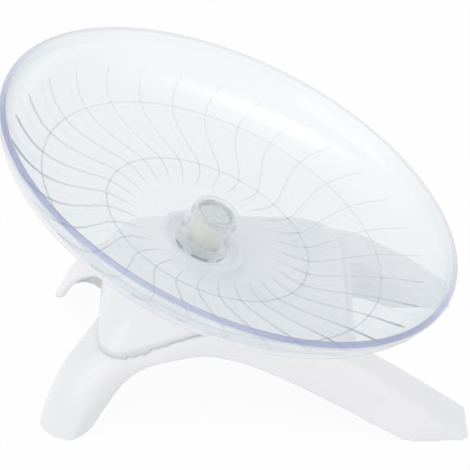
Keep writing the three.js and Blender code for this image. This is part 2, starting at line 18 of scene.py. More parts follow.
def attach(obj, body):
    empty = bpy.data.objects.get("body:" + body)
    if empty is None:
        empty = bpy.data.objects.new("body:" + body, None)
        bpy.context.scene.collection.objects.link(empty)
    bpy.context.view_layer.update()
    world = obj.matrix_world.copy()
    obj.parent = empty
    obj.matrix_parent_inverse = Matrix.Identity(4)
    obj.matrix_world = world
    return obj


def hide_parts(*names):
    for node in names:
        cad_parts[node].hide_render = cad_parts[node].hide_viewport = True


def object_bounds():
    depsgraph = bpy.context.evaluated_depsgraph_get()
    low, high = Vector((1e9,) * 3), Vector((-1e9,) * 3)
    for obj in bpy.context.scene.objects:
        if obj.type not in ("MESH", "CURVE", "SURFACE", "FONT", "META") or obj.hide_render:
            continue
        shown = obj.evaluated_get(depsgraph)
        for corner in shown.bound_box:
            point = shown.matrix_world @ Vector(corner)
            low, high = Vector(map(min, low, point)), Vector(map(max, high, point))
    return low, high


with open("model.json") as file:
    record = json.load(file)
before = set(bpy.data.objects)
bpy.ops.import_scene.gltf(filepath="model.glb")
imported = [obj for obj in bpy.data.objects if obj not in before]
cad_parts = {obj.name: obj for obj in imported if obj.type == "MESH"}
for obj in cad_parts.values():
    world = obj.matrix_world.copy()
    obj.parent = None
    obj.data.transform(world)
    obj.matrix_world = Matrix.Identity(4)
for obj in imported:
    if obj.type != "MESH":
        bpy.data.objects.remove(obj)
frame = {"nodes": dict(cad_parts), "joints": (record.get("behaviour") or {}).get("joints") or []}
cad_low, cad_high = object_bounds()
print("model box in mm", [round(value * 1000, 2) for value in (*cad_low, *cad_high)])

# %% [markdown]
# ## The leaning axis
# The dish, its hub and the bearing are round about one axis that leans to the right. They are drawn
# upright, in millimetres from the middle of the rim, and leaned over at the end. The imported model's own
# joint gives the axis, so the looks can't drift away from the motion.

# %% Find the axis and the middle of the rim
MM = 0.001
spin_joint = next(joint for joint in frame["joints"] if joint["name"] == "dish_spin")
axis_up = Vector(spin_joint["axis"]).normalized()
axis_right = Vector((axis_up.z, 0, -axis_up.x))
lean = math.atan2(axis_up.x, axis_up.z)
bearing_depth = 28.8
rim_middle = Vector(spin_joint["pos_m"]) + axis_up * bearing_depth * MM
axis_turn = np.array([axis_right, (0, 1, 0), axis_up]).T
rim_height = rim_middle.z / MM
stand_shift = rim_middle.x / MM
print("lean in degrees", round(math.degrees(lean), 2), "rim height in mm", round(rim_height, 2))


def leaned(points):
    """Places in metres of points in mm from the middle of the rim, drawn upright."""
    return np.asarray(points, float) @ axis_turn.T * MM + np.array(rim_middle)


def upright(points):
    """Places in metres of points in mm, drawn in the stand's own frame."""
    return (np.asarray(points, float) + (stand_shift, 0, 0)) * MM


def in_metres(points):
    return np.asarray(points, float) * MM


# %% [markdown]
# ## From numbers to closed meshes
# Every moulded or turned piece is a closed skin: a profile turned about the axis, or rings joined into
# a loft. Points that coincide at a pole or a seam are merged, and then the normals are turned outwards.

# %% Helpers for closed meshes
def add_mark(piece, name, values, kind="FLOAT"):
    """Stores a number, or a direction, at each corner of a piece for its finish to read."""
    layer = piece.data.attributes.new(name, kind, "POINT")
    layer.data.foreach_set("value" if kind == "FLOAT" else "vector", np.asarray(values, np.float32).ravel())


def corner_places(piece):
    places = np.zeros(len(piece.data.vertices) * 3, np.float32)
    piece.data.vertices.foreach_get("co", places)
    return places.reshape(-1, 3)


def linked(name, data):
    """A new object in the scene with the given mesh, light or camera."""
    made = bpy.data.objects.new(name, data)
    bpy.context.collection.objects.link(made)
    return made


def new_piece(name, corners, faces, marks=None):
    mesh = bpy.data.meshes.new(name)
    mesh.from_pydata(np.asarray(corners).tolist(), [], faces)
    piece = linked(name, mesh)
    for mark, values in (marks or {}).items():
        add_mark(piece, mark, values)
    work = bmesh.new()
    work.from_mesh(mesh)
    bmesh.ops.remove_doubles(work, verts=work.verts, dist=1e-7)
    bmesh.ops.recalc_face_normals(work, faces=work.faces)
    work.to_mesh(mesh)
    work.free()
    return piece


def grid_faces(rings, count, looped):
    spans = rings if looped else rings - 1
    faces = []
    for ring in range(spans):
        here, there = ring * count, (ring + 1) % rings * count
        for side in range(count):
            turn = (side + 1) % count
            faces.append((here + side, here + turn, there + turn, there + side))
    return faces


def loft(name, rings, place, looped=False):
    """A closed skin through rings of points. Open ends get a fan of triangles."""
    rings = np.asarray(rings, float)
    count = rings.shape[1]
    corners = rings.reshape(-1, 3)
    faces = grid_faces(len(rings), count, looped)
    if not looped:
        for start, ring in ((0, rings[0]), ((len(rings) - 1) * count, rings[-1])):
            middle = len(corners)
            corners = np.vstack([corners, ring.mean(0)])
            faces += [(start + side, start + (side + 1) % count, middle) for side in range(count)]
    return new_piece(name, place(corners), faces)


def revolve(name, profile, turns, place=leaned, marks=None):
    """A closed skin of a profile of (radius, height) pairs, turned about the axis."""
    profile = np.asarray(profile, float)
    angles = np.arange(turns) * 2 * math.pi / turns
    x = np.outer(np.cos(angles), profile[:, 0])
    y = np.outer(np.sin(angles), profile[:, 0])
    z = np.tile(profile[:, 1], (turns, 1))
    corners = np.stack([x, y, z], -1).reshape(-1, 3)
    spread = {mark: np.tile(values, turns) for mark, values in (marks or {}).items()}
    return new_piece(name, place(corners), grid_faces(turns, len(profile), True), spread)


def rounded(corners, steps=5):
    """A closed profile of (radius, height, fillet) rows, with its corners eased."""
    rows = np.asarray(corners, float)
    drawn = []
    for row, before, after in zip(rows, np.roll(rows, 1, 0), np.roll(rows, -1, 0)):
        here, fillet = row[:2], row[2]
        if fillet == 0:
            drawn.append(here)
            continue
        back, ahead = before[:2] - here, after[:2] - here
        reach = min(fillet, 0.49 * np.hypot(*back), 0.49 * np.hypot(*ahead))
        start = here + back / np.hypot(*back) * reach
        end = here + ahead / np.hypot(*ahead) * reach
        for share in np.linspace(0, 1, steps):
            drawn.append((1 - share) ** 2 * start + 2 * share * (1 - share) * here + share ** 2 * end)
    return drawn


def settled(piece):
    """Makes the result of the live modifiers the piece's plain mesh."""
    bpy.context.view_layer.update()
    graph = bpy.context.evaluated_depsgraph_get()
    mesh = bpy.data.meshes.new_from_object(piece.evaluated_get(graph))
    piece.modifiers.clear()
    former = piece.data
    piece.data = mesh
    bpy.data.meshes.remove(former)


def carve(piece, *cutters, operation="DIFFERENCE"):
    """Cuts closed cutters from a piece one by one, or joins them, and clears them away."""
    for cutter in cutters:
        step = piece.modifiers.new("carve", "BOOLEAN")
        step.solver = "MANIFOLD"
        step.operation = operation
        step.object = cutter
        settled(piece)
        bpy.data.objects.remove(cutter)


def painted(piece, finish):
    piece.data.materials.clear()
    piece.data.materials.append(finish)


def dressed(piece, finish=None, degrees=35):
    """Shades a piece smooth up to an angle, gives it its finish and tells its size."""
    piece.data.shade_smooth()
    piece.data.set_sharp_from_angle(angle=math.radians(degrees))
    if finish:
        painted(piece, finish)
    print(piece.name, sum(len(face.vertices) - 2 for face in piece.data.polygons), "triangles")
    return piece


print("helpers ready")

# %% [markdown]
# ## Writing finishes as formulas
# A finish is a small network of nodes. Here a link is one output of a node, and sums, products and
# powers of links add the Math nodes that they need, so a finish reads like a formula. Any other node
# comes from one method, which takes its kind, its inputs and its settings.

# %% Links and finishes
def add_node(tree, kind, inputs=None, settings=None):
    """Adds a node, sets it up, fills its inputs with values or links and returns its outputs."""
    node = tree.nodes.new(kind)
    for name, value in (settings or {}).items():
        setattr(node, name, value)
    for name, value in (inputs or {}).items():
        if isinstance(value, bpy.types.NodeSocket):
            tree.links.new(value, node.inputs[name])
        else:
            node.inputs[name].default_value = value
    return node.outputs


def joined_by(operation, swapped=False):
    """A method that joins a link with another link or a number by a Math node."""
    def method(self, other):
        pair = (other, self) if swapped else (self, other)
        return self.finish.maths(operation, *pair)
    return method


class Link:
    """One output socket of a finish."""

    def __init__(self, finish, socket):
        self.finish = finish
        self.socket = socket

    __add__, __radd__ = joined_by("ADD"), joined_by("ADD", True)
    __rsub__ = joined_by("SUBTRACT", True)
    __mul__, __rmul__ = joined_by("MULTIPLY"), joined_by("MULTIPLY", True)
    __pow__ = joined_by("POWER")


class Finish:
    """A material, or the world, whose nodes are written as formulas."""

    def __init__(self, owner):
        self.owner = owner
        owner.use_nodes = True
        self.tree = owner.node_tree
        self.tree.nodes.clear()

    def node(self, kind, inputs=None, settings=None, output=0):
        filled = {name: value.socket if isinstance(value, Link) else value
                  for name, value in (inputs or {}).items()}
        return Link(self, add_node(self.tree, kind, filled, settings)[output])

    def maths(self, operation, first, second):
        return self.node("ShaderNodeMath", {0: first, 1: second}, {"operation": operation})

    def speckle(self, size_mm, detail=2.0, stretch=(1, 1, 1), distortion=0.0):
        """Noise about 0.5 whose features are about size_mm wide."""
        place = self.node("ShaderNodeTexCoord", output="Object")
        moved = self.node("ShaderNodeMapping", {"Vector": place, "Scale": stretch})
        inputs = {"Vector": moved, "Scale": 1 / (size_mm * MM), "Detail": detail, "Distortion": distortion}
        return self.node("ShaderNodeTexNoise", inputs)

    def span(self, value, low, high):
        """The value's way from low to high, eased and held to 0 and 1."""
        inputs = {"Value": value, "From Min": low, "From Max": high}
        return self.node("ShaderNodeMapRange", inputs, {"interpolation_type": "SMOOTHSTEP"})

    def colour(self, factor, first, second):
        return self.node("ShaderNodeMix", {0: factor, 6: first, 7: second}, {"data_type": "RGBA"}, output=2)

    def mark(self, name, output="Fac"):
        return self.node("ShaderNodeAttribute", None, {"attribute_name": name}, output)

    def bump(self, height, strength, distance_mm, after=None):
        inputs = {"Height": height, "Strength": strength, "Distance": distance_mm * MM}
        if after:
            inputs["Normal"] = after
        return self.node("ShaderNodeBump", inputs)

    def ray(self, kind):
        return self.node("ShaderNodeLightPath", output=f"Is {kind} Ray")

    def facing(self):
        """0 where the eye meets the skin square, 1 where it looks along it."""
        return self.node("ShaderNodeLayerWeight", {"Blend": 0.5}, output="Facing")

    def wall_facing(self):
        """The same for the wall that carries a small feature, from its stored direction."""
        settings = {"vector_type": "NORMAL", "convert_from": "OBJECT", "convert_to": "WORLD"}
        turned = self.node("ShaderNodeVectorTransform", {"Vector": self.mark("wall", "Vector")}, settings)
        return self.node("ShaderNodeLayerWeight", {"Blend": 0.5, "Normal": turned}, output="Facing")

    def surface(self, **inputs):
        named = {name.replace("_", " "): value for name, value in inputs.items()}
        return self.node("ShaderNodeBsdfPrincipled", named)

    def finished(self, shader, end="ShaderNodeOutputMaterial"):
        made = self.tree.nodes.new(end)
        self.tree.links.new(shader.socket, made.inputs["Surface"])
        return self.owner


def rgb(red, green, blue):
    """A colour as a screen shows it, 0 to 255, as the linear values that a socket takes."""
    linear = [(value / 255 / 12.92) if value <= 10 else ((value / 255 + 0.055) / 1.055) ** 2.4
              for value in (red, green, blue)]
    return (*linear, 1.0)


print("finishes ready")

# %% [markdown]
# ## White moulded plastic
# The stand is glossy white plastic with a cool cast. The gloss wanders a little where the melt cooled,
# the skin has a faint orange peel, and fine scuffs dull it, all so low in contrast that it shows only
# in the highlights.

# %% The stand's finish
def white_plastic(name, painted_glow_colour):
    """A mark named seam greys the skin beside the joint of the two shells as painted shade, and the mark of
    the hollows adds a painted glow, which stands for light seeping through the white plastic into them."""
    finish = Finish(bpy.data.materials.new(name))
    cloud = finish.speckle(38)
    peel = finish.speckle(2.2, 1.0)
    grain = finish.speckle(0.5)
    scuffs = finish.speckle(1.1, 3.0, stretch=(0.12, 1.4, 1.0), distortion=0.4)
    scuffed = finish.span(scuffs, 0.6, 0.74)
    tone = finish.colour(finish.span(cloud, 0.35, 0.65), rgb(241, 242, 245), rgb(246, 246, 248))
    tone = finish.colour(scuffed * 0.25, tone, rgb(228, 230, 233))
    # painted shade: the skin greys beside the seam, standing for the shadow in the gap between the shells
    tone = finish.colour(finish.mark("seam") * 0.8, tone, rgb(206, 208, 213))
    roughness = 0.2 + 0.07 * cloud + 0.14 * scuffed
    relief = finish.bump(peel + 0.3 * grain, 0.03, 0.08)
    # painted glow: an emission that lifts the shade in the hollows, standing for light seeping through the
    # plastic
    painted_glow = finish.colour(finish.mark("hollow_glow"), (0, 0, 0, 1), painted_glow_colour)
    shader = finish.surface(Base_Color=tone, Roughness=roughness, Normal=relief, Coat_Weight=0.25,
                            Coat_Roughness=0.12, IOR=1.46, Emission_Color=painted_glow, Emission_Strength=1.0)
    return finish.finished(shader)


# the colours of the painted glow that lifts the shade in each shell's hollows
frame_white = white_plastic("frame_white_plastic", rgb(72, 73, 70))
saddle_white = white_plastic("saddle_white_plastic", rgb(104, 105, 108))
print("made", frame_white.name, saddle_white.name)

# %% [markdown]
# ## Clear plastic
# Clear plastic takes a little light away each time the eye crosses its skin, more where it looks along
# the wall, and mirrors what is round it by the laws of glass. So the finish has two layers: a faint tint
# whose cover grows towards the edges, and a mirror mixed in by Fresnel. Light on its way to what lies
# below passes almost unhindered, so the dish's shadow stays light.

# %% A maker of clear finishes
def clear_finish(name, tint, edge_tint, cover, edge_cover, edge_power, shade):
    """shade takes the finish, its tint and its cover, and returns both with the piece's own marks."""
    finish = Finish(bpy.data.materials.new(name))
    facing = finish.facing()
    edge = facing ** edge_power
    colour = finish.colour(edge, tint, edge_tint)
    cloud = finish.speckle(26, 1.0)
    scuffs = finish.speckle(0.9, 2.0, stretch=(0.2, 1.6, 1.0), distortion=0.6)
    scuffed = finish.span(scuffs, 0.62, 0.75)
    hiding = cover * (0.9 + 0.2 * cloud) + (edge_cover - cover) * edge + 0.012 * scuffed
    colour, hiding = shade(finish, colour, hiding)
    passing = 1 - 0.93 * finish.maths("MAXIMUM", finish.ray("Shadow"), finish.ray("Diffuse"))
    hiding = finish.node("ShaderNodeClamp", {"Value": hiding}) * passing
    wave = finish.bump(finish.speckle(14, 1.0), 0.025, 0.15)
    relief = finish.bump(finish.speckle(1.4, 1.0), 0.01, 0.1, after=wave)
    body = finish.surface(Base_Color=colour, Roughness=0.25 + 0.1 * scuffed, Alpha=hiding, Normal=relief,
                          IOR=1.49)
    mirror = finish.surface(Base_Color=(1, 1, 1, 1), Metallic=1.0, Roughness=0.15 + 0.03 * scuffed,
                            Normal=relief)
    fresnel = finish.node("ShaderNodeFresnel", {"IOR": 1.49, "Normal": relief})
    mirrored = finish.maths("MINIMUM", fresnel, 0.28) * passing
    mixed = finish.node("ShaderNodeMixShader", {0: mirrored, 1: body, 2: mirror})
    return finish.finished(mixed)


print("clear finishes ready")

# %% [markdown]
# ## The running dish
# The dish and its hub tube are one clear moulding: a crown curve, flat in the middle and steep at the
# wall, a rounded lip and a conical tube through the floor. One lathe profile says all of that, and its
# closed wall lets the eye cross two skins. Marks tell the finish where the lip, the tube and its core
# are, which way the wall faces, and where three dark arcs of painted shade lie at the foot of the tube.

# %% The dish's wall, lip and hub tube
crown_radius = 88.0
crown_power = 0.512
dish_depth = 27.0
wall_top = 84.0
lip_middle, lip_half_width, lip_half_height, lip_drop = 88.5, 1.27, 1.8, 0.06


def crown_depth(radius):
    return dish_depth * (1 - (radius / crown_radius) ** 3) ** crown_power


def crown_slope(radius):
    step = 0.02
    return (crown_depth(radius + step) - crown_depth(radius - step)) / (2 * step)


def underside(radius):
    slope = crown_slope(radius)
    length = math.hypot(1, slope)
    wall = np.interp(radius, (70, 84), (2.0, 1.7))
    return radius - wall * slope / length, crown_depth(radius) + wall / length


def steep_radii(first, last, count):
    """Radii from first to last, spaced evenly in depth, for the steep wall."""
    depths = np.linspace(crown_depth(first), crown_depth(last), count)
    return crown_radius * (1 - (depths / dish_depth) ** (1 / crown_power)) ** (1 / 3)


rows = []


def add_row(radius, depth, lip=0.0, tube=0.0, core=0.0):
    rows.append((radius, -depth, lip, tube, core))


tube_top = rounded([(7.3, -29, 0), (7.3, -18.62, 0.25), (8.3, -18.62, 0.4), (9.3, -20.1, 0.9),
                    (9.6, -26.97, 1.7), (15, -crown_depth(15), 0)], 6)
for radius, height in tube_top[1:-1]:
    add_row(radius, -height, tube=1.0 if radius < 9.7 else 0.3)
for radius in np.arange(13, 76, 1.5):
    add_row(radius, crown_depth(radius))
for radius in steep_radii(76, 86.7, 22):
    add_row(radius, crown_depth(radius))
for degrees in np.arange(190, -56, -9):
    angle = math.radians(degrees)
    lip = np.interp(degrees, (-20, 30, 130, 170), (0, 1, 1, 0))
    add_row(lip_middle + lip_half_width * math.cos(angle),
            lip_drop + lip_half_height * (1 - math.sin(angle)), lip=lip)
for radius in steep_radii(86.7, 76, 16):
    add_row(*underside(radius))
for radius in np.arange(75, 13, -2.0):
    add_row(*underside(radius))
tube_foot = rounded([(15, -29, 0), (9.45, -29, 1.4), (9.45, -31, 0.6), (10.35, -32.4, 0.5),
                     (10.35, -32.85, 0), (10.35, -33.05, 0), (10.35, -34, 0.3), (9.7, -34, 0),
                     (4.5, -34, 0.3), (4.5, -31.6, 0.2), (7.3, -31.6, 0.2), (7.3, -20, 0)], 5)
for radius, height in tube_foot[1:-1]:
    add_row(radius, -height, tube=1.0)
for depth in (31.2, 30.8, 25.0, 21.5, 20.0):
    add_row(7.3, depth, core=float(depth > 20.5), tube=float(depth < 20.5))
rows = np.array(rows)
marks = {name: rows[:, column] for column, name in enumerate(("lip", "tube", "core"), 2)}
dish_shell = dressed(revolve("dish_shell", rows[:, :2], 320, marks=marks))


def round_places(piece):
    """Places of a piece's corners about the leaning axis, in mm: drawn upright, radius and angle."""
    drawn = (corner_places(piece) - np.array(rim_middle)) / MM @ axis_turn
    return drawn, np.hypot(drawn[:, 0], drawn[:, 1]), np.arctan2(drawn[:, 1], drawn[:, 0])


def crown_normal(radius, angle):
    slope = crown_slope(radius)
    normal = np.array([slope * np.cos(angle), slope * np.sin(angle), np.ones_like(slope)])
    return normal / np.linalg.norm(normal, axis=0)


def mark_wall(piece):
    """Stores on a piece the direction in which the floor or wall below each place faces, held from
    wall_top outwards, where the curve comes to stand upright."""
    drawn, radii, angles = round_places(piece)
    normals = crown_normal(np.clip(radii, 1, wall_top), angles).T @ axis_turn.T
    add_mark(piece, "wall", normals, "FLOAT_VECTOR")


mark_wall(dish_shell)
drawn, radii, angles = round_places(dish_shell)
degrees = np.degrees(angles) % 360
# Three arcs of painted shade on the outer face of the tube's foot
dark_arcs = ((196, 226), (248, 288), (306, 340))
inside = np.max([np.minimum(degrees - first, last - degrees) for first, last in dark_arcs], 0)
add_mark(dish_shell, "arc_shade", np.clip(inside / 2, 0, 1) * (radii > 9.9) * (drawn[:, 2] < -32.6))
print("dish_shell marks", sorted(dish_shell.data.attributes.keys()))

# %% [markdown]
# ## Copies by Geometry Nodes
# The thirty ribs and the seven balls are one shape repeated round the axis, and the screws are one shape
# at four places. A small tree does each kind, makes its copies real and gives them their finish.

# %% Trees for copies round an axis and copies at places
def new_tree(name, sockets):
    """A tree with its inputs' sockets by name and the socket that takes its result."""
    tree = bpy.data.node_groups.new(name, "GeometryNodeTree")
    for label, kind in [("Geometry", "Geometry"), *sockets, ("Finish", "Material")]:
        tree.interface.new_socket(label, in_out="INPUT", socket_type="NodeSocket" + kind)
    tree.interface.new_socket("Geometry", in_out="OUTPUT", socket_type="NodeSocketGeometry")
    return tree, tree.nodes.new("NodeGroupInput").outputs, tree.nodes.new("NodeGroupOutput").inputs[0]


def finish_copies(tree, copies, given, end):
    real = add_node(tree, "GeometryNodeRealizeInstances", {"Geometry": copies})[0]
    clad = add_node(tree, "GeometryNodeSetMaterial", {"Geometry": real, "Material": given["Finish"]})[0]
    tree.links.new(clad, end)
    return tree


def round_axis_tree():
    sockets = [("Count", "Int"), ("Lean", "Float"), ("Middle", "Vector")]
    tree, given, end = new_tree("copies_round_axis", sockets)
    points = add_node(tree, "GeometryNodePoints", {"Count": given["Count"]})[0]
    index = add_node(tree, "GeometryNodeInputIndex")[0]
    circle = {0: 2 * math.pi, 1: given["Count"]}
    pitch = add_node(tree, "ShaderNodeMath", circle, {"operation": "DIVIDE"})[0]
    turn = add_node(tree, "ShaderNodeMath", {0: index, 1: pitch}, {"operation": "MULTIPLY"})[0]
    turned = add_node(tree, "ShaderNodeCombineXYZ", {"Z": turn})[0]
    copies = add_node(tree, "GeometryNodeInstanceOnPoints",
                      {"Points": points, "Instance": given["Geometry"], "Rotation": turned})[0]
    leaning = add_node(tree, "ShaderNodeCombineXYZ", {"Y": given["Lean"]})[0]
    placed = add_node(tree, "GeometryNodeTransform",
                      {"Geometry": copies, "Translation": given["Middle"], "Rotation": leaning})[0]
    return finish_copies(tree, placed, given, end)


def at_places_tree():
    tree, given, end = new_tree("copies_at_places", [("Copied", "Object")])
    copied = add_node(tree, "GeometryNodeObjectInfo", {"Object": given["Copied"]})["Geometry"]
    copies = add_node(tree, "GeometryNodeInstanceOnPoints",
                      {"Points": given["Geometry"], "Instance": copied})[0]
    return finish_copies(tree, copies, given, end)


def grown(piece, tree, **values):
    """Runs a tree on a piece and makes the result its plain mesh."""
    modifier = piece.modifiers.new(tree.name, "NODES")
    modifier.node_group = tree
    for item in tree.interface.items_tree:
        if item.in_out == "INPUT" and item.name in values:
            modifier[item.identifier] = values[item.name]
    settled(piece)


round_axis = round_axis_tree()
at_places = at_places_tree()
print("trees", round_axis.name, at_places.name)

# %% [markdown]
# ## Swirl ribs
# Thirty thin ribs give grip. Each sways back near the hub and forward near the wall, like a stretched
# S, and fades out at both ends. One is swept along that path as a low half-round strip, square to the
# curved floor, and the tree turns it into thirty.

# %% The ribs' finish and the swept rib
def rib_shade(finish, colour, hiding):
    reach = finish.mark("reach")
    # painted shade: the ribs' grey darkens towards their outer ends, where they stand steep on the wall and
    # are seen edge-on
    outer = finish.span(reach, 0.45, 1.0)
    dark = finish.colour(outer, rgb(166, 172, 184), rgb(112, 116, 132))
    tips = finish.span(reach, 0.0, 0.12)
    slant = finish.span(finish.wall_facing(), 0.3, 0.8)
    return dark, tips * (0.03 + slant * (0.24 + 0.17 * outer)) + 0.1 * hiding


rib_plastic = clear_finish("rib_clear_plastic", rgb(190, 195, 208), rgb(150, 155, 175), 0.06, 0.2, 2.0,
                           rib_shade)
rib_count = 30
rib_start, rib_turn, rib_end = 27.0, 48.5, 81.3
rib_phase, inner_sway, outer_sway = 4.8, -4.4, 5.2
sway_end = 0.91


def rib_angle(radius):
    """The sway of a rib in radians: one half wave back, then most of one forward."""
    inner = (radius - rib_start) / (rib_turn - rib_start)
    if inner < 1:
        return math.radians(rib_phase + inner_sway * math.sin(math.pi * max(inner, 0)))
    outer = min((radius - rib_turn) / (rib_end - rib_turn), 1) * sway_end
    return math.radians(rib_phase + outer_sway * math.sin(math.pi * outer))


def on_crown(radius, angle):
    return np.array([radius * math.cos(angle), radius * math.sin(angle), -crown_depth(radius)])


rib_radii = np.concatenate([np.linspace(rib_start, 74, 56), steep_radii(74, rib_end, 16)[1:]])
rib_path = np.array([on_crown(radius, rib_angle(radius)) for radius in rib_radii])
rib_ahead = np.gradient(rib_path, axis=0)
rib_rings = []
for radius, point, ahead in zip(rib_radii, rib_path, rib_ahead):
    normal = crown_normal(radius, rib_angle(radius))
    side = np.cross(normal, ahead / np.linalg.norm(ahead))
    share = (radius - rib_start) / (rib_end - rib_start)
    size = min(1.0, 0.25 + share * 9, 0.3 + (1 - share) * 22)
    ring = [point + side * 0.3 * size * math.cos(a) + normal * (0.5 * size * math.sin(a))
            for a in np.linspace(0, math.pi, 8)]
    ring += [point - side * 0.26 * size - normal * 0.2, point + side * 0.26 * size - normal * 0.2]
    rib_rings.append(ring)
swirl_ribs = loft("swirl_ribs", rib_rings, in_metres)
reach = np.hypot(*corner_places(swirl_ribs).T[:2]) / MM
add_mark(swirl_ribs, "reach", (reach - rib_start) / (rib_end - rib_start))
grown(swirl_ribs, round_axis, Count=rib_count, Lean=lean, Middle=tuple(rim_middle), Finish=rib_plastic)
mark_wall(dressed(swirl_ribs, degrees=60))

# %% [markdown]
# ## Grip rings
# Two fine rings cross the ribs, paler than they are. Each is a half-round profile sunk a hair into the
# floor.

# %% Both rings as one piece
def ring_shade(finish, colour, hiding):
    slant = finish.span(finish.wall_facing(), 0.3, 0.8)
    return colour, 0.04 + 0.28 * slant + 0.1 * hiding


ring_plastic = clear_finish("ring_clear_plastic", rgb(176, 186, 196), rgb(150, 160, 180), 0.06, 0.2, 2.0,
                            ring_shade)


def ring_profile(middle):
    slope = crown_slope(middle)
    length = math.hypot(1, slope)
    out = np.array([1, -slope]) / length
    up = np.array([slope, 1]) / length
    base = np.array([middle, -crown_depth(middle)])
    arc = [base + out * 0.34 * math.cos(a) + up * 0.38 * math.sin(a) for a in np.linspace(0, math.pi, 8)]
    return arc + [base - out * 0.3 - up * 0.15, base + out * 0.3 - up * 0.15]


inner_ring_radius, outer_ring_radius = 40.3, 67.4
grip_rings = revolve("grip_rings", ring_profile(inner_ring_radius), 240)
outer_ring = revolve("outer_ring", ring_profile(outer_ring_radius), 300)
joined = bmesh.new()
joined.from_mesh(grip_rings.data)
joined.from_mesh(outer_ring.data)
joined.to_mesh(grip_rings.data)
joined.free()
bpy.data.objects.remove(outer_ring)
mark_wall(dressed(grip_rings, ring_plastic, 60))

# %% [markdown]
# ## The dish's finish
# Seen flat on, the plastic is nearly clear with a cool cast. The lip gathers the light that runs along
# the wall below it, so it is periwinkle where that wall turns from the eye and pale where the eye meets
# it square. The tube's wall is a little greyer, with painted highlights on its edges and painted shade
# in three arcs at its foot.

# %% Clear plastic with a periwinkle lip
def dish_shade(finish, colour, hiding):
    lip = finish.span(finish.mark("lip"), 0.0, 1.0)
    tube, core, arc_shade = (finish.mark(name) for name in ("tube", "core", "arc_shade"))
    slant = finish.facing()
    edge = slant ** 3
    gathered = finish.span(finish.wall_facing(), 0.15, 0.9)
    periwinkle = finish.colour(gathered, rgb(200, 204, 220), rgb(158, 171, 220))
    colour = finish.colour(finish.span(slant, 0.86, 0.98), colour, rgb(160, 166, 186))
    colour = finish.colour(lip, colour, periwinkle)
    colour = finish.colour(lip * finish.span(gathered, 0.8, 1.0) * 0.6, colour, rgb(88, 96, 168))
    colour = finish.colour(tube, colour, rgb(226, 229, 235))
    colour = finish.colour(core, colour, rgb(222, 225, 214))
    # painted highlight: the tube and its core turn white where the eye looks along them
    colour = finish.colour((tube + core) * edge, colour, rgb(255, 255, 255))
    # painted shade: the three arcs at the tube's foot turn near black and nearly opaque
    colour = finish.colour(arc_shade, colour, rgb(30, 34, 34))
    cover = hiding + lip * (0.06 + 0.46 * gathered) + tube * (0.16 + 0.6 * edge) + 0.78 * core
    return colour, cover + 0.95 * arc_shade


dish_plastic = clear_finish("dish_clear_plastic", rgb(212, 231, 242), rgb(240, 242, 249), 0.08, 0.6, 2.6,
                            dish_shade)
painted(dish_shell, dish_plastic)
print("made", dish_plastic.name)

# %% [markdown]
# ## The hub cap
# A small flanged cup closes the tube. Its top is milky, with a grey ring of painted shade round the
# corner of the recess, and its skirt shows through the tube as a cream core with painted highlights on
# its edges. Marks again say which part is which.

# %% Turn the cap
cap_rows = rounded([(0, -19.3, 0), (4.4, -19.3, 0), (5.0, -19.3, 0), (5.5, -19.3, 0), (6.15, -19.3, 0.3),
                    (6.25, -17.2, 0.3), (6.7, -16.72, 0.25), (7.95, -16.72, 0.4), (8.48, -17.25, 0.3),
                    (8.48, -18.3, 0.15), (7.0, -18.3, 0.2), (7.0, -26.0, 0.2), (6.0, -26.0, 0.2),
                    (6.0, -20.5, 0.4), (0, -20.5, 0)], 5)
cap_rows = np.array(cap_rows)
recess = (cap_rows[:, 1] > -19.4) * (cap_rows[:, 1] < -18.7)
# painted shade: a ring in the corner at the foot of the recess's wall
recess_shade = np.exp(-((cap_rows[:, 0] - 5.95) / 0.33) ** 2) * recess
skirt = (cap_rows[:, 1] < -19.4) * (cap_rows[:, 0] > 5.9)
disc = recess * (cap_rows[:, 0] < 5.6)
cap_marks = {"ring": recess_shade, "skirt": skirt, "disc": disc}
hub_cap = revolve("hub_cap_dressed", cap_rows, 96, marks=cap_marks)


def cap_shade(finish, colour, hiding):
    ring, skirt_share, disc_share = (finish.mark(name) for name in ("ring", "skirt", "disc"))
    mottle = finish.span(finish.speckle(1.6, 3.0, distortion=0.5), 0.3, 0.7)
    # painted shade: the recess ring is a mottled grey
    grey = finish.colour(mottle, rgb(140, 152, 160), rgb(206, 213, 217))
    edge = finish.facing() ** 3
    # painted highlight: the cream skirt turns white at its edges
    cream = finish.colour(edge, rgb(222, 225, 214), rgb(255, 255, 255))
    milky = finish.colour(mottle, rgb(214, 223, 228), rgb(232, 238, 241))
    colour = finish.colour(disc_share, colour, milky)
    colour = finish.colour(ring, colour, grey)
    colour = finish.colour(skirt_share, colour, cream)
    return colour, hiding + 0.6 * ring + 0.5 * disc_share + 0.6 * skirt_share


cap_plastic = clear_finish("cap_milky_plastic", rgb(238, 242, 246), rgb(255, 255, 255), 0.2, 0.6, 2.5,
                           cap_shade)
dressed(hub_cap, cap_plastic, 50)

# %% [markdown]
# ## Steels
# Each steel is a metal whose roughness and relief come from how it was made: fine rings from the grinder
# on the pin, faint polish lines on races and balls, a coarser grain on the pressed shields and cage, and
# the cloudy bloom of zinc on the screws.

# %% Ground, polished, pressed and plated steel
def steel(name, dark, light, roughness, cloud_mm, line_stretch, relief):
    finish = Finish(bpy.data.materials.new(name))
    cloud = finish.speckle(cloud_mm)
    lines = finish.speckle(0.4, stretch=line_stretch)
    tone = finish.colour(finish.span(cloud, 0.3, 0.7), rgb(*dark), rgb(*light))
    rough = roughness + 0.12 * lines + 0.08 * cloud
    shader = finish.surface(Base_Color=tone, Metallic=1.0, Roughness=rough,
                            Normal=finish.bump(lines, relief, 0.03))
    return finish.finished(shader)


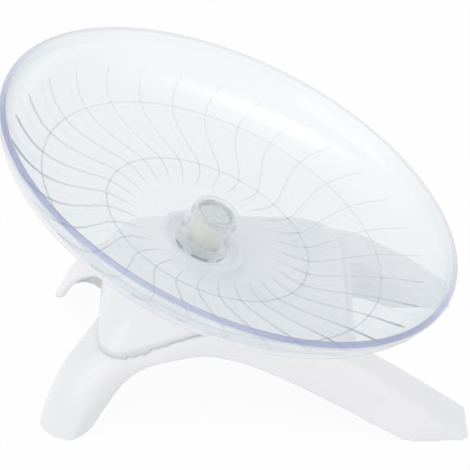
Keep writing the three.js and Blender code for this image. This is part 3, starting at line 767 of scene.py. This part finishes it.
pin_steel = steel("pin_ground_steel", (168, 170, 172), (196, 198, 200), 0.18, 3, (0.1, 0.1, 3), 0.1)
race_steel = steel("race_polished_steel", (186, 188, 190), (206, 208, 210), 0.08, 4, (0.3, 0.3, 2), 0.03)
shield_steel = steel("shield_pressed_steel", (176, 178, 176), (202, 204, 204), 0.26, 2, (1, 1, 0.3), 0.08)
cage_steel = steel("cage_pressed_steel", (172, 170, 160), (196, 194, 186), 0.3, 1.5, (1, 1, 1), 0.1)
screw_steel = steel("screw_zinc_steel", (160, 164, 168), (196, 200, 206), 0.3, 1.2, (1, 1, 1), 0.12)
print("five steels ready")

# %% [markdown]
# ## Pin, races and shields
# The pin stands in the saddle's boss and carries the inner race on its shoulder. The outer race sits in
# the hub tube, and a thin pressed shield closes each face. Each is one profile with small chamfers.

# %% Turn the pin, races and shields
pin_rows = rounded([(0, -47.98, 0), (2.2, -47.98, 0), (2.8, -47.4, 0.1), (2.8, -35.7, 0.1),
                    (3.4, -35.7, 0.25), (3.4, -31.62, 0.25), (2.43, -31.62, 0.05), (2.43, -25.9, 0.5),
                    (1.83, -25.12, 0.3), (0, -25.12, 0)], 4)
ball_circle, ball_radius, groove_radius, half_race = 4.75, 1.185, 1.29, 2.48


def race_profile(shoulder, edge, side):
    groove = [(ball_circle + side * groove_radius * math.cos(angle),
               -bearing_depth + groove_radius * math.sin(angle), 0)
              for angle in np.radians(np.linspace(-46, 46, 9))]
    low, high = -bearing_depth - half_race, -bearing_depth + half_race
    ends = [(shoulder, high, 0.12), (edge, high, 0.35), (edge, low, 0.35), (shoulder, low, 0.12)]
    return rounded(groove + ends, 4)


def shield_profile(face):
    high, low = 2.38, 2.1
    rows_out = [(4.12, low, 0), (4.12, high, 0.1), (4.5, high, 0.1), (4.62, high - 0.12, 0.1),
                (5.1, high - 0.12, 0.1), (5.22, high, 0.1), (5.48, high, 0.1), (5.48, low, 0)]
    return [(r, face * z - bearing_depth) for r, z in rounded(rows_out, 3)]


def turned_steel(name, profile, metal):
    return dressed(revolve(name + "_dressed", profile, 72), metal, 30)


pivot_pin = turned_steel("pivot_pin", pin_rows, pin_steel)
inner_race = turned_steel("inner_race", race_profile(3.9, 2.51, -1), race_steel)
outer_race = turned_steel("outer_race", race_profile(5.6, 6.98, 1), race_steel)
shield_upper = turned_steel("shield_upper", shield_profile(1), shield_steel)
shield_lower = turned_steel("shield_lower", shield_profile(-1), shield_steel)

# %% [markdown]
# ## Bearing balls
# Seven polished balls roll in the grooves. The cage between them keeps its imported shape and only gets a
# finish.

# %% Seven balls round the axis
ball_mesh = bpy.data.meshes.new("bearing_balls")
ball_work = bmesh.new()
bmesh.ops.create_icosphere(ball_work, subdivisions=3, radius=ball_radius * MM)
bmesh.ops.translate(ball_work, verts=ball_work.verts, vec=(ball_circle * MM, 0, -bearing_depth * MM))
ball_work.to_mesh(ball_mesh)
ball_work.free()
bearing_balls = linked("bearing_balls", ball_mesh)
grown(bearing_balls, round_axis, Count=7, Lean=lean, Middle=tuple(rim_middle), Finish=race_steel)
dressed(bearing_balls)
painted(frame["nodes"]["bearing_cage"], cage_steel)

# %% [markdown]
# ## The stand's two rails
# The stand's frame is one arched shell. Two smooth rails describe it: the lower edge of its side and the
# outline of its top. Both run through a short table of shares of the reach, the height and the half
# width, and its last column is the corner's, though the right legs read a list of tighter corners
# instead. The cross-sections between the rails have rounded upper corners, tighter on the right legs,
# and sides that curl under a little at the bottom, so the arch's edge darkens softly.

# %% Rails through the tables of shares
left_toe, right_toe, half_width, frame_height, corner_radius = 73.0, 86.0, 50.0, 37.5, 13.0
left_rows = [
    (0.8, -0.21, 0.93, 1.06, -0.2, 1, 1), (0.74, 0, 0.92, 1, 0, 1, 1),
    (0.647, 0.277, 0.87, 0.91, 0.355, 0.955, 0.9), (0.603, 0.4, 0.845, 0.862, 0.497, 0.91, 0.8),
    (0.553, 0.51, 0.82, 0.774, 0.66, 0.865, 0.65), (0.493, 0.592, 0.795, 0.664, 0.805, 0.82, 0.5),
    (0.429, 0.653, 0.78, 0.52, 0.86, 0.78, 0.35), (0.3, 0.72, 0.765, 0.335, 0.92, 0.75, 0.3),
    (0.164, 0.757, 0.75, 0.15, 0.985, 0.73, 0.3),
]
right_rows = [
    (0, 0.7, 0.75, 0, 1, 0.74, 0.3), (0.151, 0.555, 0.76, 0.17, 0.972, 0.745, 0.3),
    (0.256, 0.448, 0.785, 0.3, 0.925, 0.8, 0.4), (0.366, 0.328, 0.82, 0.43, 0.835, 0.87, 0.5),
    (0.465, 0.229, 0.86, 0.54, 0.74, 0.91, 0.55), (0.558, 0.144, 0.92, 0.66, 0.57, 0.95, 0.6),
    (0.709, 0, 1, 0.814, 0.31, 1, 0.7), (0.79, -0.147, 1.02, 0.919, 0.13, 1, 0.75),
    (0.895, -0.32, 1.03, 1.05, -0.1, 1, 0.75),
]


def rail_points(first):
    """Rows of (x, half width, height) in mm, for the lower edge (0) or the top (3)."""
    sides = [(-left_toe, row) for row in left_rows] + [(right_toe, row) for row in right_rows]
    return np.array([(reach * row[first], half_width * row[first + 2], frame_height * row[first + 1])
                     for reach, row in sides])


def rail_at(points, share):
    """A smooth curve through the points whose speed follows the root of their spacing."""
    place = (len(points) - 1) * share
    here = min(int(place), len(points) - 2)
    weight = place - here
    p1, p2 = points[here], points[here + 1]
    p0 = points[here - 1] if here > 0 else 2 * p1 - p2
    p3 = points[here + 2] if here + 2 < len(points) else 2 * p2 - p1
    gap0, gap1, gap2 = (np.linalg.norm(b - a) ** 0.5 for a, b in ((p0, p1), (p1, p2), (p2, p3)))
    start = ((p1 - p0) / gap0 - (p2 - p0) / (gap0 + gap1) + (p2 - p1) / gap1) * gap1
    end = ((p2 - p1) / gap1 - (p3 - p1) / (gap1 + gap2) + (p3 - p2) / gap2) * gap1
    cubic = (p1, start, -3 * p1 + 3 * p2 - 2 * start - end, 2 * p1 - 2 * p2 + start + end)
    return sum(term * weight ** power for power, term in enumerate(cubic))


edge_rail, top_rail = rail_points(0), rail_points(3)
right_corners = [0.3, 0.3, 0.28, 0.26, 0.24, 0.23, 0.22, 0.22, 0.22]
corner_shares = np.array([row[6] for row in left_rows] + right_corners)
curl_shares = np.array([1.0] * 6 + [0.9, 0.75, 0.6, 0.5, 0.4, 0.35, 0.3, 0.25, 0.2, 0.2, 0.2, 0.2])
curl_in, curl_up, curl_drop = 3.6, 8.0, 1.0


def table_at(share, shares):
    return np.interp(share * (len(shares) - 1), np.arange(len(shares)), shares)


def frame_section(low, top, corner, curl, grow, open_below):
    """One ring of the frame: a lip, the curled side, the rounded corner, and all of it mirrored."""
    rise = np.array([top[0] - low[0], 0, top[2] - low[2]])
    height = np.linalg.norm(rise) + grow
    rise /= np.linalg.norm(rise)
    radius = corner + grow

    def at(across, up):
        return np.array([low[0], across, low[2]]) + rise * up

    curl_reach = min(curl_up * curl, 0.92 * (height - radius) + curl_drop * curl)
    spread = (top[1] - low[1]) / (height - radius)
    half = [at(low[1] + grow - curl_in * curl, -open_below - curl_drop * curl)]
    for angle in np.radians(np.arange(80, -1, -10)):
        up = curl_reach * (1 - math.sin(angle)) - curl_drop * curl
        half.append(at(low[1] + spread * up + grow - curl_in * curl * (1 - math.cos(angle)), up))
    for angle in np.linspace(0, math.pi / 2, 16):
        half.append(at(top[1] + grow - radius + radius * math.cos(angle),
                       height - radius + radius * math.sin(angle)))
    return half + [point * (1, -1, 1) for point in reversed(half)]


def frame_body(name, grow=0.0, open_below=0.0):
    """The whole frame without its hollow, grown all round and carried on below its open side."""
    rings = [frame_section(rail_at(edge_rail, share), rail_at(top_rail, share),
                           corner_radius * table_at(share, corner_shares), table_at(share, curl_shares),
                           grow, open_below)
             for share in np.linspace(0, 1, 180)]
    return loft(name, rings, upright)


top_points = np.array([rail_at(top_rail, share) for share in np.linspace(0, 1, 677)])


def frame_top_at(reach):
    """Half width and height of the frame's top over places on X."""
    return (np.interp(reach, top_points[:, 0], top_points[:, 1]),
            np.interp(reach, top_points[:, 0], top_points[:, 2]))


print("rails of", len(edge_rail), "points each")

# %% [markdown]
# ## Openings in the stand
# A round arch opens the left side between its legs, a slot parts the right legs, and a window in the
# top takes the pin's boss. Each opening is a closed cutter. The wall is 2.4 mm thick, and it turns down
# round the slot and the window because the hollow is cut back from a grown copy of each of them.

# %% Cutters for the arch, the slot, the window and the screws
frame_wall = 2.4
window_left, window_right, window_half = -33, 30, 17
slot_left, slot_right, slot_half = 44, 130, 30
opening_corner = 6
arch_half, arch_height, arch_flare, flare_height = 30, 30.8, 9, 8
screw_places = [(-40, -25), (-40, 25), (26, -25), (26, 25)]
head_room, screw_length = 0.9, 7.98


def plate(name, outline, low, high, place=upright):
    rings = [[(x, y, z) for x, y in outline] for z in (low, high)]
    return loft(name, rings, place)


def block(name, size, middle, place=upright):
    half = np.array(size) / 2
    (left, front, low), (right, back, high) = middle - half, middle + half
    return plate(name, [(left, front), (right, front), (right, back), (left, back)], low, high, place)


def rounded_opening(name, low_x, high_x, half, radius):
    outline = []
    centres = [(high_x - radius, half - radius, 0), (low_x + radius, half - radius, 90),
               (low_x + radius, radius - half, 180), (high_x - radius, radius - half, 270)]
    for x, y, first in centres:
        for angle in np.radians(np.linspace(first, first + 90, 13)):
            outline.append((x + radius * math.cos(angle), y + radius * math.sin(angle)))
    return plate(name, outline, -45, 45)


def window(grow):
    return rounded_opening("window", window_left - grow, window_right + grow, window_half + grow,
                           opening_corner + grow)


def leg_slot(grow):
    return rounded_opening("leg_slot", slot_left - grow, slot_right, slot_half + grow,
                           opening_corner + grow)


def side_arch():
    ring = []
    for share in np.linspace(0, 1, 65):
        angle = math.pi / 2 * (1 - math.cos(math.pi * share))
        height = arch_height * math.sin(angle)
        across = arch_half * math.cos(angle)
        flare = arch_flare * max(0, 1 - height / flare_height) ** 2
        ring.append((across + np.sign(across) * flare, height))
    ring += [(-arch_half - arch_flare, -10), (arch_half + arch_flare, -10)]
    return loft("side_arch", [[(x, y, z) for y, z in ring] for x in (-83, -37)], upright)


def screw_seat(x):
    """The height of a screw's seat: under the frame's wall and the head's room."""
    return frame_top_at(x)[1] - frame_wall - head_room


def cylinder(name, x, y, radius, low, high):
    rows_out = [(0, low), (radius, low), (radius, high), (0, high)]
    return revolve(name, rows_out, 32, place=lambda points: upright(np.asarray(points) + (x, y, 0)))


def screw_bores():
    return [cylinder("bore", x, y, 1.5, screw_seat(x) - 6.7, screw_seat(x) + screw_length + 0.32)
            for x, y in screw_places]


print("cutters ready")

# %% [markdown]
# ## Soft moulded edges
# A carved mesh has knife edges, and real mouldings don't. The carved shell is rebuilt on a fine grid of
# voxels and smoothed a little. Where the saddle meets the frame it is smoothed much more, so the seam
# gets the round, shadowed lip of the real one, and a mark there greys the skin beside it as painted
# shade.

# %% Rebuild a carved shell with eased edges
seam_passes = 45


def gaps_to(piece, other):
    """Distances in mm of a piece's corners from another closed skin, which is then cleared away."""
    skin = BVHTree.FromPolygons([vertex.co for vertex in other.data.vertices],
                                [face.vertices for face in other.data.polygons])
    bpy.data.objects.remove(other)
    return np.array([skin.find_nearest(vertex.co)[3] / MM for vertex in piece.data.vertices])


def fading(gaps, reach, fade):
    """1 near another skin, falling to 0 over the last stretch, fade, of its reach in mm."""
    return np.clip((reach - gaps) / fade, 0, 1)


def eased(piece, voxel_mm, passes, seam=None):
    """Rebuilds a piece and rounds it off near the closed skin named seam."""
    grid = piece.modifiers.new("grid", "REMESH")
    grid.mode = "VOXEL"
    grid.voxel_size = voxel_mm * MM
    relax = piece.modifiers.new("relax", "SMOOTH")
    relax.factor = 0.5
    relax.iterations = passes
    settled(piece)
    if seam:
        gaps = gaps_to(piece, seam)
        weights = fading(gaps, 3.2, 1.6)
        near = piece.vertex_groups.new(name="near_seam")
        for index in np.flatnonzero(weights):
            near.add([int(index)], weights[index], "REPLACE")
        # the seam mark greys the skin near the joint with painted shade
        add_mark(piece, "seam", fading(gaps, 2.2, 1.8))
        round_off = piece.modifiers.new("round_off", "SMOOTH")
        round_off.factor = 0.5
        round_off.iterations = seam_passes
        round_off.vertex_group = near.name
        settled(piece)
        piece.vertex_groups.clear()
    places = np.clip(corner_places(piece), np.array(cad_low) + 1e-6, np.array(cad_high) - 1e-6)
    piece.data.vertices.foreach_set("co", places.ravel())


# %% Carve the four-legged frame
def frame_hollow():
    return frame_body("hollow", grow=-frame_wall, open_below=10)


stand_frame = frame_body("stand_frame_shell")
hollow = frame_hollow()
carve(hollow, window(frame_wall), leg_slot(frame_wall))
carve(stand_frame, hollow, window(0), leg_slot(0), side_arch(), *screw_bores(),
      block("below_floor", (400, 400, 60), (0, 0, -30)))
eased(stand_frame, voxel_mm=0.68, passes=8)
# painted glow on the frame's inner skin, which the hollow keeps in shade
add_mark(stand_frame, "hollow_glow", fading(gaps_to(stand_frame, frame_hollow()), 1.3, 0.6))
dressed(stand_frame, frame_white, 180)

# %% [markdown]
# ## The saddle
# The upper shell sits on the frame, sunk a little below its top and deeper at the left legs, and
# sweeps up to the collar that takes the hub. Each line of its surface starts on a rounded rectangle,
# leaves it steeply and arrives square to the tilted collar, which a cubic curve does well. Inside are
# the pin's boss, four screw bosses and two crossing ribs. The seat is cut twice, once by the frame
# itself and once by a wider copy of it set lower, which trims what would hang down beside the frame.

# %% Loft the saddle and carve it to fit the frame
well_depth = 36.0
collar_radius = 17.0
right_reach, left_reach = 43.0, 54.5
edge_power = 8
wall_tuck, wall_rise, left_rise, right_rise = 2.5, 14, 8, 7
seat_gap, seat_depth, trim_reach, trim_drop = 0.2, 20, 3, 4.5


def lean_points(radius, angles, depth):
    """Points round the axis, in the stand's frame in mm."""
    upright_points = np.stack([radius * np.cos(angles), radius * np.sin(angles),
                               np.full_like(angles, -depth)], -1)
    return upright_points @ axis_turn.T + (0, 0, rim_height)


def seam_drop(x):
    """How far below the frame's top the saddle's edge lies: deeper towards the left legs."""
    return np.interp(x, (-50, -44, -30, -12), (10.5, 10.0, 8.2, 4.2))


def saddle_edge(angles, inset):
    """The saddle's lower edge, as places round it in the stand's frame."""
    along, across = np.cos(angles), np.sin(angles)
    size = (np.abs(along) ** edge_power + np.abs(across) ** edge_power) ** (-1 / edge_power)
    reach = np.where(along > 0, right_reach, left_reach)
    x = (reach - inset) * along * size
    half, height = frame_top_at(x)
    half = half + np.interp(x, (-54, -44, -30, -12, 10), (3.6, 3.0, 1.4, -0.8, -0.3))
    return np.stack([x, (half - inset) * across * size, height - seam_drop(x)], -1)


def saddle_body(name, inset=0, lowered=0, roof_drop=0, rings=44, count=208):
    even = np.arange(count) * 2 * math.pi / count
    angles = even + np.sin(4 * even) / 8
    low = saddle_edge(angles, inset)
    leftness, rightness = np.maximum(0, -np.cos(angles)) ** 2, np.maximum(0, np.cos(angles)) ** 2
    wall = saddle_edge(angles, inset + wall_tuck + wall_tuck * leftness)
    high = lean_points(collar_radius - inset, angles, well_depth + roof_drop)
    rise = wall_rise + left_rise * leftness + right_rise * rightness
    wall[:, 2] += rise + seam_drop(wall[:, 0]) - lowered
    low[:, 2] -= lowered
    below = high - (0, 0, 3)
    made = []
    for share in np.linspace(0, 1, rings):
        rest = 1 - share
        made.append(low * rest ** 3 + wall * 3 * rest ** 2 * share + below * 3 * rest * share ** 2
                    + high * share ** 3)
    return loft(name, made, upright)


def axis_cylinder(name, radius, top, bottom):
    return revolve(name, [(0, -bottom), (radius, -bottom), (radius, -top), (0, -top)], 64)


def saddle_hollow():
    return saddle_body("hollow", inset=frame_wall, lowered=10, roof_drop=2.6)


saddle = saddle_body("stand_saddle_shell")
carve(saddle, saddle_hollow())
boss_x = -math.sin(lean) * well_depth
inner_parts = [block("long_rib", (96, 1.8, 46), (0, 0, 61)),
               block("cross_rib", (1.8, 96, 46), (boss_x, 0, 61))]
inner_parts += [cylinder("boss", x, y, 3.6, frame_top_at(x)[1] - 10, rim_height) for x, y in screw_places]
for part in inner_parts:
    carve(part, saddle_body("outer", rings=30, count=104), operation="INTERSECT")
pin_boss = axis_cylinder("pin_boss", 6.0, well_depth + 1.3, well_depth + 14)
collar_rows = rounded([(13.6, -37.3, 0), (collar_radius, -37.3, 0), (collar_radius, -31.02, 0.9),
                       (13.6, -31.02, 0.9)], 6)
carve(saddle, *inner_parts, pin_boss, revolve("collar", collar_rows, 128), operation="UNION")
beside_seat = frame_body("beside_seat", trim_reach, seat_depth)
beside_seat.location.z = -trim_drop * MM
pin_bore = axis_cylinder("pin_bore", 3.1, well_depth - 0.3, well_depth + 24)
carve(saddle, frame_body("seat", seat_gap, seat_depth), beside_seat, pin_bore, *screw_bores())
eased(saddle, voxel_mm=0.56, passes=16, seam=frame_body("seam", seat_gap, seat_depth))
drawn, radii, angles = round_places(saddle)
# painted glow in the well inside the collar and on the saddle's inner skin, which lie in shade
well = np.clip((collar_radius - radii) / 2, 0, 1) * np.clip((-31.6 - drawn[:, 2]) / 1.5, 0, 1)
hollow_glow = fading(gaps_to(saddle, saddle_hollow()), 1.3, 0.6)
add_mark(saddle, "hollow_glow", np.maximum(well, hollow_glow))
dressed(saddle, saddle_white, 180)

# %% [markdown]
# ## Screws
# Four self-tapping screws hold the saddle on the frame, from below. One is turned with shallow ridges
# for a thread and a cross recess in its head, and the tree sets it at four places.

# %% One screw, at four places
screw_rows = [(0, -1.68), (1.5, -1.68), (2.05, -1.3), (2.18, -0.7), (2.18, 0), (1.1, 0)]
for turn in range(9):
    height = 0.5 + turn * 0.68
    screw_rows += [(0.95, height), (0.95, height + 0.25), (1.18, height + 0.42), (0.95, height + 0.6)]
screw_rows += [(0.95, 6.8), (0.0, screw_length)]
screw = revolve("screw", screw_rows, 28, in_metres)
carve(screw, *[block("recess", (long, wide, 1.7), (0, 0, -1.75), in_metres)
               for long, wide in ((2.3, 0.5), (0.5, 2.3))])
saddle_screws = new_piece("saddle_screws", upright([(x, y, screw_seat(x)) for x, y in screw_places]), [])
grown(saddle_screws, at_places, Copied=screw, Finish=screw_steel)
bpy.data.objects.remove(screw)
dressed(saddle_screws, degrees=40)

# %% [markdown]
# ## Tie every piece to its body
# A piece rides on the body that carries it and stands for the imported nodes that it dresses, which are
# hidden. Each row also names a material slot, which nothing in the script reads.

# %% Bodies, nodes and slots
screw_nodes = [f"saddle_screw_{side}_{end}" for side in ("left", "right") for end in ("front", "back")]
rides = [
    (stand_frame, "stand", "white_plastic", "stand_legs"),
    (saddle, "stand", "white_plastic", "stand_saddle"),
    (saddle_screws, "stand", "screw_steel", *screw_nodes),
    (pivot_pin, "stand", "pin_steel", "pivot_pin"),
    (inner_race, "bearing_core", "bearing_steel", "bearing_inner_race"),
    (bearing_balls, "bearing_rollers", "bearing_steel", *[f"bearing_ball_{n}" for n in range(1, 8)]),
    (outer_race, "dish", "bearing_steel", "bearing_outer_race"),
    (shield_upper, "dish", "shield_steel", "bearing_shield_upper"),
    (shield_lower, "dish", "shield_steel", "bearing_shield_lower"),
    (dish_shell, "dish", "clear_plastic", "running_dish"),
    (swirl_ribs, "dish", "clear_plastic", "running_dish"),
    (grip_rings, "dish", "clear_plastic", "running_dish"),
    (hub_cap, "dish", "clear_plastic", "hub_cap"),
]
for piece, body, slot, *nodes in rides:
    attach(piece, body)
    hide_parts(*nodes)

# %% [markdown]
# ## Floor, light and camera
# The floor is mostly plain white to the camera and still takes a soft shadow. A long lamp over the dish
# draws the soft streak on its far wall, two narrow ones the thin bright lines in it, and a broad lamp at
# the front left models the stand. An even pale world fills the rest.

# %% The stage
def pale_floor():
    finish = Finish(bpy.data.materials.new("pale_floor"))
    soft = finish.surface(Base_Color=(0.95, 0.95, 0.955, 1), Roughness=0.7)
    white = finish.node("ShaderNodeEmission", {"Color": (1, 1, 1, 1), "Strength": 1.0})
    looks = finish.ray("Camera") + finish.ray("Glossy") + finish.ray("Transmission")
    seen = finish.maths("MINIMUM", looks, 1.0)
    mixed = finish.node("ShaderNodeMixShader", {0: seen * 0.93, 1: soft, 2: white})
    return finish.finished(mixed)


floor_corners = [(x, y, -0.0001) for x, y in ((-6, -6), (6, -6), (6, 6), (-6, 6))]
floor = new_piece("floor", floor_corners, [(0, 1, 2, 3)])
painted(floor, pale_floor())

sky = Finish(bpy.data.worlds.new("pale_world"))
seen = sky.maths("MAXIMUM", sky.ray("Camera"), sky.ray("Glossy"))
level = sky.node("ShaderNodeMapRange", {"Value": seen, "To Min": 0.98, "To Max": 1.0})
glow = sky.node("ShaderNodeBackground", {"Strength": level})
bpy.context.scene.world = sky.finished(glow, "ShaderNodeOutputWorld")

lamps = [
    ("front_lamp", (-0.75, -0.85, 0.95), (0, 0, 0.06), (1.3, 1.3), 3.2),
    ("streak_lamp", (0.5, -0.02, 1.1), (0.5, -0.02, 0), (1.3, 0.18), 0.55),
    ("line_lamp_back", (0.42, 0.05, 1.05), (0.42, 0.05, 0), (0.6, 0.02), 0.2),
    ("line_lamp_front", (0.38, -0.09, 1.05), (0.38, -0.09, 0), (0.6, 0.02), 0.2),
]
for name, place, aim, size, watts in lamps:
    light = bpy.data.lights.new(name, "AREA")
    light.shape = "RECTANGLE"
    light.size, light.size_y = size
    light.energy = watts
    lamp = linked(name, light)
    lamp.location = place
    lamp.rotation_euler = (Vector(aim) - Vector(place)).to_track_quat("-Z", "Y").to_euler()

camera_data = bpy.data.cameras.new("camera")
camera_data.lens = 158.65
camera_data.sensor_width = 36
camera = linked("camera", camera_data)
camera.location = (-0.001229, -0.6263, 0.4972)
camera.rotation_euler = (math.radians(54.896), 0, 0)
bpy.context.scene.camera = camera
bpy.context.scene.view_settings.view_transform = "Standard"
print("stage ready")
